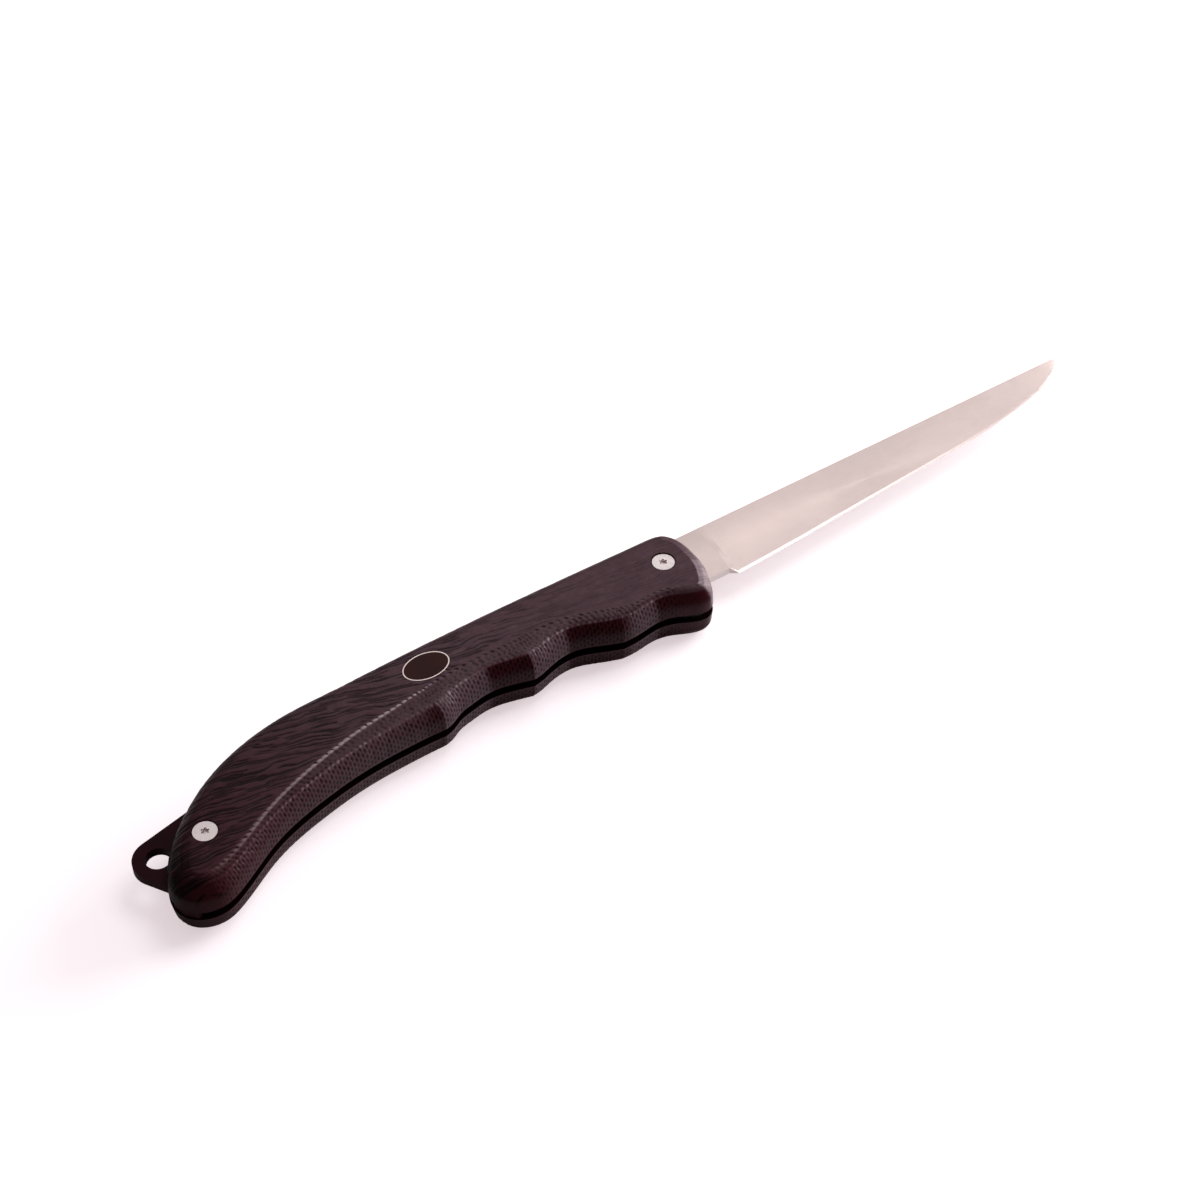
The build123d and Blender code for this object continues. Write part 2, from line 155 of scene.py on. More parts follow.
# Mesh of the grips
column_step = 0.28
row_step = 0.31
crown_step = 0.28
crown_row_share = 0.87
crown_margin_share = 0.7
profile_smoothing_rounds = 2
sliver_width = 0.003
sharp_angle_deg = 50
fill_inside_only = 1
fill_tolerance = 1e-9

# Pattern of the grips: s runs along the outline, v up the wall from the slot, and w is the distance from
# the ridge between wall and crown. A reach is where a soft step starts and ends, and a least value is
# the weakest that an uneven row gets.
lip_reach = (0.3, 0.7)
dash_pitch = 1.0
dash_row_pitch = 1.7
dash_half_width = 0.25
dash_half_length = 0.6
dash_depth = 0.24
dash_least = 0.55
dash_seed = 3
dash_top_reach = (-0.5, -0.15)
bead_pitch = 1.45
bead_height = 0.13
bead_half_width = 0.35
bead_least = 0.2
bead_seed = 6
stroke_pitch = 1.5
stroke_row_pitch = 0.85
stroke_half_width = 0.25
stroke_half_length = 0.32
stroke_depth = 0.24
stroke_slant = 0.6
stroke_stagger_share = 0.55
stroke_jump = 0.5
stroke_jump_seed = 4
stroke_least = 0.2
stroke_seed = 9
stroke_far_share = 0.75
stroke_near_width = 1.5
stroke_low_reach = (-0.1, 0.3)
stroke_top_reach = (-0.8, -0.4)
ridge_height = 0.14
ridge_half_width = 0.35
ridge_slope_width = 6.0
notch_pitch = 1.8
notch_slant = 0.6
notch_half_width = 0.27
notch_depth = 0.32
notch_least = 0.35
notch_seed = 7
notch_start_reach = (-0.35, -0.05)
notch_end_reach = (0.35, 0.85)

# Grain of the crown: layers are (seed, scale) and wanders are (size, length, width, seed)
grain_depth = 0.16
grain_across = 1.05
grain_along = 7.0
grain_line_share = 0.2
grain_layers = [(1, 1.0), (2, 1.45)]
grain_wanders = [(1.8, 8.0, 4.0, 5), (0.5, 2.5, 1.5, 6)]
grain_jump = 40
grain_presence_seed = 10
grain_presence_steps = (0.45, 0.65)
grain_rim_reach = (0.5, 1.6)
grain_rim_lift = 2.0
grain_wall_reach = (2.0, 4.5)
grain_front_share = 0.25
grain_front_reach = (15, 80)
grain_shift_places = [-165.0, -135.0, -105.0, -60.0, -20.0, 0.0, 12.0]
grain_shifts = [31.4, 27.5, 19.9, 8.4, 2.1, 0.0, -1.0]

# Painted light and shade on the grips: relief that only colours, and paleness from 0 on walls painted dark
# as shade to 1 on lit faces and on walls painted pale where the side lamp falls on them
shine_strength = 0.42
shine_half_width = 0.38
shine_reach = (62, 100)
shine_butt_reach = (125, 148)
shine_butt_loss = 0.65
tick_strength = 0.35
tick_width_share = 1.6
painted_light_wall = 0.05
painted_light_relief_share = 0.6
nose_painted_highlight = 0.12
tip_turns = (-0.08, 0.06)
nose_turns = (0.25, 0.6)
nose_side_reach = (-8, 4)
nose_back_share = 0.35
spine_reach = (-4, 8)
spine_paleness = 0.6
low_wall_paleness = 0.4
low_wall_reach_shares = (0.15, 0.7)
band_paleness = 0.75
edge_blend_below = 0.5
edge_blend_above = 0.2
ridge_blend = 0.8
far_paleness = 0.2
far_reach = (-172, -66)
butt_painted_shade = 0.10
butt_reach = (-166, -150)
inside_painted_shade = -0.2

# Repeatable random numbers
hash_primes = (73856093, 19349663, 83492791)
hash_factor = 1274126177
hash_mask = 0x7FFFFFFF
hash_shifts = (13, 15)
hash_steps = 65536

# Cuts in the grips, from the solids
pivot_place = (0.0, 0.0)
rear_place = (-0.908 * handle_reach, -1.080 * handle_back)
counterbore_radius = 3.35
counterbore_depth = 1.8
barrel_hole_radius = 2.55
thumb_dish_radius = 11.0
thumb_dish_depth = 3.0
thumb_dish_x = -96.88
badge_place = (-0.4565 * handle_reach, 0.254 * handle_back)
badge_length = 13.3
badge_width = 9.1
badge_depth = 0.9
overrun = 2.0
cutter_sides = 96
dish_rings = 48


def placed(shares):
    """A point of the handle from its two shares."""
    return (shares[0] * handle_reach, shares[1] * handle_back)


loop_shares = (
    [peak_3_shares]
    + nose_shares
    + spine_shares
    + butt_shares
    + heel_side_shares
    + [peak_1_shares]
    + groove_1_shares
    + [peak_2_shares]
    + groove_2_shares
)
loop_belly_shares = (
    [1.0]
    + nose_belly_shares
    + [0.0] * len(spine_shares)
    + butt_belly_shares
    + [1.0] * (len(loop_shares) - 1 - len(nose_shares) - len(spine_shares) - len(butt_shares))
)
peak_places = [loop_shares.index(peak) for peak in (peak_3_shares, peak_1_shares, peak_2_shares)]
run_ends = peak_places + [len(loop_shares)]


def inset_loop(insets):
    """The outline's points, each moved inwards by its own distance, square to the outline."""
    points = [placed(shares) for shares in loop_shares]
    moved = []
    for place, (x, y) in enumerate(points):
        before = points[place - 2]
        after = points[(place + 2) % len(points)]
        run = (after[0] - before[0], after[1] - before[1])
        length = math.hypot(*run)
        moved.append((x - insets[place] * run[1] / length, y + insets[place] * run[0] / length))
    return moved


def smooth_curve(knots, points, at):
    """Values at the given places of the natural cubic spline through the points."""
    points = np.asarray(points, float)
    count = len(knots)
    gaps = np.diff(knots)
    slopes = np.diff(points, axis=0) / gaps[:, None]
    system = np.eye(count)
    right = np.zeros_like(points)
    for k in range(1, count - 1):
        system[k, k - 1 : k + 2] = (gaps[k - 1], 2 * (gaps[k - 1] + gaps[k]), gaps[k])
        right[k] = 6 * (slopes[k] - slopes[k - 1])
    bends = np.linalg.solve(system, right)
    k = np.clip(np.searchsorted(knots, at, side="right") - 1, 0, count - 2)
    after = (at - knots[k])[:, None]
    before = (knots[k + 1] - at)[:, None]
    gap = gaps[k][:, None]
    cubic = (bends[k] * before**3 + bends[k + 1] * after**3) / (6 * gap)
    first = (points[k] / gap - bends[k] * gap / 6) * before
    second = (points[k + 1] / gap - bends[k + 1] * gap / 6) * after
    return cubic + first + second


def smooth_step(low, high, value):
    """From 0 at low to 1 at high, with soft ends."""
    share = np.clip((value - low) / (high - low), 0, 1)
    return share * share * (3 - 2 * share)


def random_at(*cells):
    """A repeatable random number from 0 to 1 for whole-number cells."""
    mixed = sum(np.asarray(cell, np.int64) * prime for cell, prime in zip(cells, hash_primes))
    mixed = (mixed ^ (mixed >> hash_shifts[0])) * hash_factor & hash_mask
    return ((mixed ^ (mixed >> hash_shifts[1])) % hash_steps) / hash_steps


def uneven(least, *cells):
    """A repeatable random strength from the least to 1 for whole-number cells."""
    return least + (1 - least) * random_at(*cells)


def value_noise(x, y, seed):
    """Smooth noise from 0 to 1 with cells one unit wide."""
    cell_x = np.floor(x).astype(np.int64)
    cell_y = np.floor(y).astype(np.int64)
    part_x = smooth_step(0, 1, x - cell_x)
    part_y = smooth_step(0, 1, y - cell_y)
    total = 0
    for step_x, weight_x in ((0, 1 - part_x), (1, part_x)):
        for step_y, weight_y in ((0, 1 - part_y), (1, part_y)):
            total = total + random_at(cell_x + step_x, cell_y + step_y, seed) * weight_x * weight_y
    return total


def bump_row(place, half_width):
    """A soft bump round zero, 1 at its top."""
    return np.exp(-((place / half_width) ** 2))


def wrapped(place, pitch):
    """Distance to the nearest multiple of the pitch, with its sign."""
    return (place + pitch / 2) % pitch - pitch / 2


def nearest_number(place, pitch):
    """Number of the nearest multiple of the pitch."""
    return np.floor(place / pitch + 0.5)


def grain(x, y):
    """Long thin cracks like those of wood, from 0 to 1: along the handle in front, slanting behind."""
    shift = smooth_curve(np.array(grain_shift_places), np.array(grain_shifts)[:, None], x.ravel())
    wander = 0
    for size, length, width, seed in grain_wanders:
        wander = wander + size * (value_noise(x / length, y / width, seed) - 0.5)
    lines = 0
    for seed, scale in grain_layers:
        across = ((y - shift.reshape(x.shape)) / grain_across + wander) * scale
        number = nearest_number(across, 1)
        along = x / grain_along * scale + grain_jump * random_at(number, seed, seed)
        presence = value_noise(along, np.full_like(along, 0.5), seed + grain_presence_seed + number)
        line = bump_row(wrapped(across, 1.0), grain_line_share * scale)
        lines = np.maximum(lines, line * smooth_step(*grain_presence_steps, presence))
    front = smooth_step(*grain_front_reach, -x)
    return lines * (grain_front_share + (1 - grain_front_share) * front)


def wall_dashes(s, v):
    """Upright dashes in staggered rows, from 0 to 1."""
    column = nearest_number(s, dash_pitch)
    shift = (column % 2) * 0.5 * dash_row_pitch
    row = nearest_number(v + shift, dash_row_pitch)
    across = (s - column * dash_pitch) / dash_half_width
    along = (v + shift - row * dash_row_pitch) / dash_half_length
    return np.exp(-(across**2) - along**4) * uneven(dash_least, column, row, dash_seed)


def band_strokes(s, w):
    """Short slanting cuts in uneven staggered rows, from 0 to 1; w is the distance out from the ridge."""
    row = nearest_number(w, stroke_row_pitch)
    along = w - row * stroke_row_pitch
    jump = stroke_jump * random_at(row, stroke_jump_seed, stroke_jump_seed)
    place = s - stroke_slant * along + stroke_stagger_share * stroke_pitch * row + jump
    number = nearest_number(place, stroke_pitch)
    across = (place - number * stroke_pitch) / stroke_half_width
    near_ridge = stroke_far_share + (1 - stroke_far_share) * np.exp(-w / stroke_near_width)
    shape = np.exp(-(across**2) - (along / stroke_half_length) ** 4)
    return shape * uneven(stroke_least, number, row, stroke_seed) * near_ridge


def ridge_notches(s, w):
    """Slanting cuts over the ridge, from 0 to 1; w is the distance from it, inwards positive."""
    place = s + notch_slant * w
    window = smooth_step(*notch_start_reach, w) * (1 - smooth_step(*notch_end_reach, w))
    strength = uneven(notch_least, nearest_number(place, notch_pitch), notch_seed, notch_seed)
    return bump_row(wrapped(place, notch_pitch), notch_half_width) * window * strength


def ridge_painted_highlight(x, s, w):
    """Painted highlight along the ridge behind the grooves: how much paler it is; w is the distance from
    it.
    """
    tick = bump_row(wrapped(s + notch_slant * w, notch_pitch), tick_width_share * notch_half_width)
    near_butt = smooth_step(*shine_butt_reach, -x)
    line = bump_row(w, shine_half_width * (1 + near_butt)) * (1 - shine_butt_loss * near_butt)
    return shine_strength * line * (1 - tick_strength * tick) * smooth_step(*shine_reach, -x)


def edge_beads(s, w):
    """A row of beads of uneven size along the wall's upper edge, from 0 to 1; w is the distance from it."""
    size = uneven(bead_least, np.floor(s / bead_pitch), bead_seed, bead_seed)
    height = bead_least + (1 - bead_least) * size * np.sin(math.pi * s / bead_pitch) ** 2
    return bump_row(w, bead_half_width) * height


def closed(points):
    """The points with the first one once more at the end."""
    points = np.array(points)
    return np.vstack([points, points[:1]])


def grip_columns():
    """Places of the columns along the outline, one row for each run between peaks, and its knots."""
    base = closed(inset_loop([0.0] * len(loop_shares)))
    knots = np.concatenate([[0.0], np.cumsum(np.hypot(*np.diff(base, axis=0).T))])
    runs = []
    for first, last in zip(run_ends, run_ends[1:]):
        count = round((knots[last] - knots[first]) / column_step)
        runs.append(np.linspace(knots[first], knots[last], count, endpoint=False))
    return runs, knots


def ring_of_columns(insets, z, runs, knots):
    """The columns' points on the outline moved inwards, as a smooth curve from peak to peak."""
    points = closed(inset_loop(insets))
    parts = []
    for first, last, places in zip(run_ends, run_ends[1:], runs):
        parts.append(smooth_curve(knots[first : last + 1], points[first : last + 1], places))
    flat = np.vstack(parts)
    return np.column_stack([flat, np.full(len(flat), z)])


def wall_levels(runs, knots):
    """Rings of columns at the heights that the solids have, from the slot to the crown."""
    levels = []
    for height, shoulder_part, crown_part in level_shares:
        insets = []
        for shares in loop_shares:
            shoulder, crown = shares[2:]
            insets.append((shoulder * shoulder_part + (crown - shoulder) * crown_part) * grip_thickness)
        levels.append(ring_of_columns(insets, slot_face_z + height * grip_thickness, runs, knots))
    return np.array(levels)


def wall_rows(levels):
    """The wall from the slot's lip to the crown's edge as rows of columns, with its kinks softened."""
    rows = []
    level_places = []
    for low, high in zip(levels, levels[1:]):
        level_places.append(len(rows))
        count = max(2, round(float(np.median(np.linalg.norm(high - low, axis=1))) / row_step))
        rows += [low + (high - low) * step / count for step in range(count)]
    level_places.append(len(rows))
    rows = np.array(rows + [levels[-1]])
    for _ in range(profile_smoothing_rounds):
        rows[1:-1] = (rows[:-2] + 2 * rows[1:-1] + rows[2:]) / 4
    return rows, level_places


def wall_normals(rows):
    """The outward direction at each point of the wall."""
    around = np.roll(rows, -1, axis=1) - np.roll(rows, 1, axis=1)
    normals = np.cross(around, np.gradient(rows, axis=0))
    return normals / np.linalg.norm(normals, axis=2)[:, :, None]


def wall_relief(rows, s, v, v_edge, v_ridge, belly):
    """How far the wall's surface stands out, in millimetres, negative for what is cut in."""
    wall = smooth_step(*lip_reach, v) * (1 - smooth_step(*dash_top_reach, v - v_edge))
    band = smooth_step(*stroke_low_reach, v - v_edge) * (1 - smooth_step(*stroke_top_reach, v - v_ridge))
    relief = -dash_depth * wall_dashes(s, v) * wall
    relief = relief - stroke_depth * band_strokes(s, v_ridge - v) * band
    relief = relief + bead_height * edge_beads(s, v - v_edge)
    relief = relief - notch_depth * ridge_notches(s, v - v_ridge)
    grained = grain(rows[:, :, 0], rows[:, :, 1]) * smooth_step(*grain_wall_reach, v) * (1 - belly)
    relief = relief * belly - grain_depth * grained
    relief[0] = 0
    return relief


def crown_grid(rim):
    """A close grid of points inside the rim, their distance from it and its nearest column."""
    low, high = rim.min(axis=0), rim.max(axis=0)
    grid_x, grid_y = np.meshgrid(
        np.arange(low[0], high[0], crown_step),
        np.arange(low[1], high[1], crown_step * crown_row_share),
    )
    grid_x[1::2] += crown_step / 2
    spots = np.column_stack([grid_x.ravel(), grid_y.ravel()])
    inside = np.zeros(len(spots), bool)
    gap = np.full(len(spots), np.inf)
    column = np.zeros(len(spots), int)
    for place, (here_x, here_y) in enumerate(rim):
        after_x, after_y = rim[(place + 1) % len(rim)]
        crosses = (here_y > spots[:, 1]) != (after_y > spots[:, 1])
        if here_y != after_y:
            slope = (after_x - here_x) / (after_y - here_y)
            inside ^= crosses & (spots[:, 0] < here_x + (spots[:, 1] - here_y) * slope)
        distance = np.hypot(spots[:, 0] - here_x, spots[:, 1] - here_y)
        closer = distance < gap
        gap[closer] = distance[closer]
        column[closer] = place
    keep = inside & (gap > crown_step * crown_margin_share)
    return spots[keep], gap[keep], column[keep]


def crown_surface(spots, gap, s, belly):
    """How far the crown's points stand out, and the relief that colours them: painted shade in the cuts and
    a painted highlight on the ridge; gap is to the ridge.
    """
    slope = 1 - smooth_step(2 * ridge_half_width, ridge_slope_width, gap)
    sink = ridge_height * smooth_step(0, 2 * ridge_half_width, gap) * slope * belly
    notches = notch_depth * ridge_notches(s, gap) * belly
    fade = smooth_step(*grain_rim_reach, gap + grain_rim_lift * (1 - belly))
    lines = grain_depth * grain(spots[:, 0], spots[:, 1]) * fade
    shade = -np.maximum(notches, lines) + ridge_painted_highlight(spots[:, 0], s, gap) * belly
    return -np.maximum(sink, notches) - lines, shade


def wall_colouring(rows, normals, relief, s, v, v_edge, v_ridge, belly):
    """The relief that colours the wall's points and their paleness: walls painted dark as shade, and
    painted paler as light where they face the tip or end the nose.
    """
    turn = normals[:, 0] / np.linalg.norm(normals[:, :2], axis=1)
    tip_facing = smooth_step(*tip_turns, turn)
    # Painted highlight on the rounded nose end, strongest on its belly side
    below = 1 - smooth_step(*nose_side_reach, rows[0, :, 1])
    nose_end = smooth_step(*nose_turns, turn) * (1 - belly)
    nose_end = nose_end * (nose_back_share + (1 - nose_back_share) * below)
    # Painted light: belly walls that face the tip, and their raised bits most, get a paler tone
    wall_painted_light = painted_light_wall * (1 - smooth_step(v_edge - edge_blend_below, v_edge, v))
    wall_painted_light = wall_painted_light + painted_light_relief_share * np.maximum(relief, 0)
    shade = relief + ridge_painted_highlight(rows[:, :, 0], s, v - v_ridge) * belly
    shade = shade + wall_painted_light * tip_facing * belly + nose_painted_highlight * nose_end

    spine_side = smooth_step(*spine_reach, rows[0, :, 1]) * (1 - belly)
    low_wall = low_wall_paleness * (1 - smooth_step(*low_wall_reach_shares, v / v_edge))
    pale = low_wall * (1 - spine_side) + spine_paleness * spine_side
    # Painted light: belly walls that face the tip, and the nose end, take the pale face colours
    pale = pale + (1 - pale) * np.maximum(tip_facing * belly, nose_end)
    band = band_paleness + (1 - band_paleness) * nose_end
    pale = pale + (band - pale) * smooth_step(v_edge - edge_blend_below, v_edge + edge_blend_above, v)
    pale = pale + (1 - pale) * smooth_step(v_ridge - ridge_blend, v_ridge, v)
    return shade, pale


def strip_faces(here, up, count, inwards=False):
    """Faces between two rings of columns whose first points are here and up."""
    faces = []
    for column in range(count):
        after = (column + 1) % count
        if inwards:
            faces.append((here + column, up + column, up + after, here + after))
        else:
            faces.append((here + column, here + after, up + after, up + column))
    return faces


def crown_faces(rim, spots, top, start):
    """Faces of the crown: top is the first point of the wall's last row, start that of the spots."""
    flat = [Vector(point) for point in np.vstack([rim, spots])]
    count = len(rim)
    made = delaunay_2d_cdt(flat, [], [list(range(count))], fill_inside_only, fill_tolerance)
    source = [group[0] for group in made[3]]
    faces = []
    for face in made[2]:
        corners = [source[corner] for corner in face]
        faces.append(tuple(top + c if c < count else start - count + c for c in corners))
    return faces


def grip_skin():
    """Points and faces of the upper grip half's textured shell, and each point's relief and paleness, which
    carry its painted light and shade.
    """
    runs, knots = grip_columns()
    s = np.concatenate(runs)
    count = len(s)
    belly = np.interp(s, knots, loop_belly_shares + loop_belly_shares[:1])

    rows, level_places = wall_rows(wall_levels(runs, knots))
    steps = np.linalg.norm(np.diff(rows, axis=0), axis=2)
    v = np.vstack([np.zeros(count), np.cumsum(steps, axis=0)])
    v_edge = (v[level_places[shoulder_level]] + v[level_places[shoulder_level + 1]]) / 2
    v_ridge = v[-1]
    normals = wall_normals(rows)
    relief = wall_relief(rows, s, v, v_edge, v_ridge, belly)
    crown_edge = rows[-1].copy()
    rows = rows + normals * relief[:, :, None]
    rows[-1, :, :2] = crown_edge[:, :2]
    rows[-1, :, 2] = crown_edge[:, 2] + np.minimum(relief[-1], 0)
    low_normals = normals[level_places[1]]
    shade, pale = wall_colouring(rows, low_normals, relief, s, v, v_edge, v_ridge, belly)

    rim = crown_edge[:, :2]
    spots, gap, column = crown_grid(rim)
    crown_relief, crown_shade = crown_surface(spots, gap, s[column], belly[column])
    crown_points = np.column_stack([spots, np.full(len(spots), handle_thickness) + crown_relief])

    # Inside: the flat strip beside the slot, the pocket's wall and its floor
    rings = []
    for inset, z in (
        (lip_inset, slot_face_z),
        (pocket_inset, slot_face_z),
        (pocket_inset, slot_face_z + pocket_depth),
    ):
        rings.append(ring_of_columns([inset] * len(loop_shares), z, runs, knots))

    points = np.vstack([rows.reshape(-1, 3), crown_points] + rings)
    inside_count = len(rings) * count
    # Painted shade: the strip beside the slot and the pocket get a low relief and the walls' dark colours
    depth = np.concatenate([shade.ravel(), crown_shade, np.full(inside_count, inside_painted_shade)])
    # Painted shade: the butt end is coloured darker
    depth = depth - butt_painted_shade * (1 - smooth_step(*butt_reach, points[:, 0]))
    paleness = np.concatenate([pale.ravel(), np.ones(len(spots)), np.zeros(inside_count)])
    forward = smooth_step(*far_reach, points[:, 0])
    paleness = paleness * (far_paleness + (1 - far_paleness) * forward)

    top = (len(rows) - 1) * count
    crown_start = top + count
    faces = []
    for row in range(len(rows) - 1):
        faces += strip_faces(row * count, (row + 1) * count, count)
    faces += crown_faces(rim, spots, top, crown_start)
    here = 0
    for up in range(crown_start + len(spots), len(points), count):
        faces += strip_faces(here, up, count, inwards=True)
        here = up
    faces.append(tuple(reversed(range(here, here + count))))
    return points, faces, {"relief": depth, "paleness": paleness}


def new_mesh_object(name, points, faces):
    """An object from points in millimetres and faces."""
    mesh = bpy.data.meshes.new(name)
    mesh.from_pydata([tuple(point) for point in np.asarray(points) * MM], [], faces)
    mesh.validate()
    mesh.update()
    made = bpy.data.objects.new(name, mesh)
    bpy.context.scene.collection.objects.link(made)
    return made


def disc_cutter(x, y, radius_x, radius_y, low, high):
    """A many-sided round or oval bar that cuts a hole."""
    turns = [2 * math.pi * side / cutter_sides for side in range(cutter_sides)]
    ring = [(x + radius_x * math.cos(turn), y + radius_y * math.sin(turn)) for turn in turns]
    points = [(px, py, low) for px, py in ring] + [(px, py, high) for px, py in ring]
    faces = strip_faces(0, cutter_sides, cutter_sides)
    faces.append(tuple(reversed(range(cutter_sides))))
    faces.append(tuple(range(cutter_sides, 2 * cutter_sides)))
    return new_mesh_object("cutter", points, faces)


def dish_cutter():
    """The ball that hollows the back for the thumb."""
    centre = np.array([thumb_dish_x, handle_back - thumb_dish_depth + thumb_dish_radius, mid_z])
    points = [centre - (0, 0, thumb_dish_radius)]
    for ring in range(1, dish_rings):
        lean = math.pi * ring / dish_rings
        for side in range(cutter_sides):
            turn = 2 * math.pi * side / cutter_sides
            way = (math.sin(lean) * math.cos(turn), math.sin(lean) * math.sin(turn), -math.cos(lean))
            points.append(centre + thumb_dish_radius * np.array(way))
    points.append(centre + (0, 0, thumb_dish_radius))
    last = len(points) - 1
    start = last - cutter_sides
    sides = [(side, (side + 1) % cutter_sides) for side in range(cutter_sides)]
    faces = [(0, 1 + after, 1 + side) for side, after in sides]
    for first in range(1, start, cutter_sides):
        faces += strip_faces(first, first + cutter_sides, cutter_sides)
    faces += [(last, start + side, start + after) for side, after in sides]
    return new_mesh_object("cutter", points, faces)


def cut(piece, cutter):
    """Takes the cutter out of the piece and removes the cutter."""
    step = piece.modifiers.new("cut", "BOOLEAN")
    step.operation = "DIFFERENCE"
    step.solver = "MANIFOLD"
    step.object = cutter
    bpy.context.view_layer.update()
    result = bpy.data.meshes.new_from_object(piece.evaluated_get(bpy.context.evaluated_depsgraph_get()))
    piece.modifiers.clear()
    old = piece.data
    piece.data = result
    bpy.data.meshes.remove(old)
    bpy.data.objects.remove(cutter)


def merge_slivers(mesh):
    """Joins the points that the cuts left closer together than a sliver."""
    shell = bmesh.new()
    shell.from_mesh(mesh)
    bmesh.ops.remove_doubles(shell, verts=shell.verts, dist=sliver_width * MM)
    shell.to_mesh(mesh)
    shell.free()


def make_grip(name, node, points, faces, values, mirrored):
    """One grip half with its holes, badge recess on the upper one and thumb dish."""
    if mirrored:
        points = points * (1, 1, -1) + (0, 0, handle_thickness)
        faces = [tuple(reversed(face)) for face in faces]
    piece = new_mesh_object(name, points, faces)
    for label, numbers in values.items():
        layer = piece.data.attributes.new(label, "FLOAT", "POINT")
        layer.data.foreach_set("value", numbers.astype(np.float32))
    side = -1 if mirrored else 1
    outer = mid_z + side * (mid_z + overrun)
    bore_floor = mid_z + side * (mid_z - counterbore_depth)
    for x, y in (pivot_place, rear_place):
        for radius, inner in ((counterbore_radius, bore_floor), (barrel_hole_radius, mid_z)):
            low, high = sorted((inner, outer))
            cut(piece, disc_cutter(x, y, radius, radius, low, high))
    cut(piece, dish_cutter())
    if not mirrored:
        low = handle_thickness - badge_depth
        cut(piece, disc_cutter(*badge_place, badge_length / 2, badge_width / 2, low, outer))
    merge_slivers(piece.data)
    piece.data.set_sharp_from_angle(angle=math.radians(sharp_angle_deg))
    for polygon in piece.data.polygons:
        polygon.use_smooth = True
    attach(piece, "handle")
    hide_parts(node)
    return piece


# Materials: how much colour, roughness and bump vary. Most values of a noise lie in noise_range.
noise_range = (0.3, 0.7)
brush_scale = 1400
brush_stops = (0.1, 0.9)
brush_cloud_scale = 60
brush_roughness_span = (-0.04, 0.06)
brush_bump = (0.12, 0.01)
skin_cloud_scale = 90
skin_colour_span = (0.75, 1.25)
skin_roughness_span = (-0.05, 0.05)
skin_bump = (0.15, 0.02)
upright_steps = (0.3, 0.6)

# Rubber: its tone is a noise plus what the relief gives, which paints shade in the cuts and paler tops on
# raised bits; its colours are stops of the tone
rubber_relief = (-0.14, 0.18)
rubber_relief_tones = (-0.15, 1.85)
rubber_most_tone = 3.2
rubber_mottle_scale = 300
rubber_skin_scale = 2600
rubber_skin_stretch = (0.35, 1, 1)
rubber_skin_turn_deg = -12
rubber_roughness = (0.26, 0.40)
rubber_polish_paleness = (0.2, 0.8)
rubber_polish = (0.06, 0.12)
rubber_bump = (0.35, 0.06)
# Painted shade: the walls' stops are a darker copy of the faces', and the faces' top stop is a painted
# highlight for the ridge
rubber_shaded_wall_colours = [
    (0.15, (0.0040, 0.0005, 0.0011)),
    (0.50, (0.0480, 0.0052, 0.0090)),
]
rubber_face_colours = [
    (0.15, (0.0130, 0.0025, 0.0045)),
    (0.40, (0.0760, 0.0370, 0.0475)),
    (0.50, (0.1120, 0.0680, 0.0810)),
    (0.80, (0.4600, 0.3600, 0.4000)),
]


def new_material(name):
    """An empty node material with its shader, and the shader's node."""
    made = bpy.data.materials.new(name)
    made.use_nodes = True
    return made, made.node_tree.nodes["Principled BSDF"]


def add_node(material, kind, **values):
    """A node with its named inputs or settings set."""
    node = material.node_tree.nodes.new(kind)
    for key, value in values.items():
        label = key.replace("_", " ")
        if label in node.inputs:
            node.inputs[label].default_value = value
        else:
            setattr(node, key, value)
    return node


def join(material, source, target):
    """A link between an output and an input."""
    material.node_tree.links.new(source, target)


def stretched_place(material, stretch=(1, 1, 1), turn_deg=0.0):
    """Object coordinates scaled by stretch, in metres times the scale."""
    place = add_node(material, "ShaderNodeTexCoord")
    mapping = add_node(material, "ShaderNodeMapping")
    mapping.inputs["Scale"].default_value = stretch
    mapping.inputs["Rotation"].default_value = (0, 0, math.radians(turn_deg))
    join(material, place.outputs["Object"], mapping.inputs["Vector"])
    return mapping.outputs["Vector"]


def noise(material, vector, scale, detail=4.0, roughness=0.55):
    """A noise texture's value."""
    node = add_node(material, "ShaderNodeTexNoise", Scale=scale, Detail=detail, Roughness=roughness)
    join(material, vector, node.inputs["Vector"])
    return node.outputs["Fac"]


def ramp(material, value, stops):
    """A colour ramp from (place, colour) stops."""
    node = add_node(material, "ShaderNodeValToRGB")
    elements = node.color_ramp.elements
    while len(elements) < len(stops):
        elements.new(0.5)
    for element, (place, colour) in zip(elements, stops):
        element.position = place
        element.color = (*colour, 1)
    join(material, value, node.inputs["Fac"])
    return node.outputs["Color"]


def spread(material, value, source, target):
    """A value mapped from one range to another."""
    node = add_node(material, "ShaderNodeMapRange")
    for label, (low, high) in (("From", source), ("To", target)):
        node.inputs[label + " Min"].default_value = low
        node.inputs[label + " Max"].default_value = high
    join(material, value, node.inputs["Value"])
    return node.outputs["Result"]


def added(material, first, second):
    """The sum of two values."""
    node = add_node(material, "ShaderNodeMath", operation="ADD")
    join(material, first, node.inputs[0])
    join(material, second, node.inputs[1])
    return node.outputs[0]


def bump(material, shader, height, amounts):
    """A bump on the shader's normal; amounts are its strength and its distance in millimetres."""
    strength, distance = amounts
    node = add_node(material, "ShaderNodeBump", Strength=strength, Distance=distance * MM)
    join(material, height, node.inputs["Height"])
    join(material, node.outputs["Normal"], shader.inputs["Normal"])


def tinted(colour, factor):
    """The colour made lighter or darker."""
    return tuple(min(1.0, channel * factor) for channel in colour)


def rough_span(roughness, span):
    """The range of roughness round a middle value."""
    return (roughness + span[0], roughness + span[1])


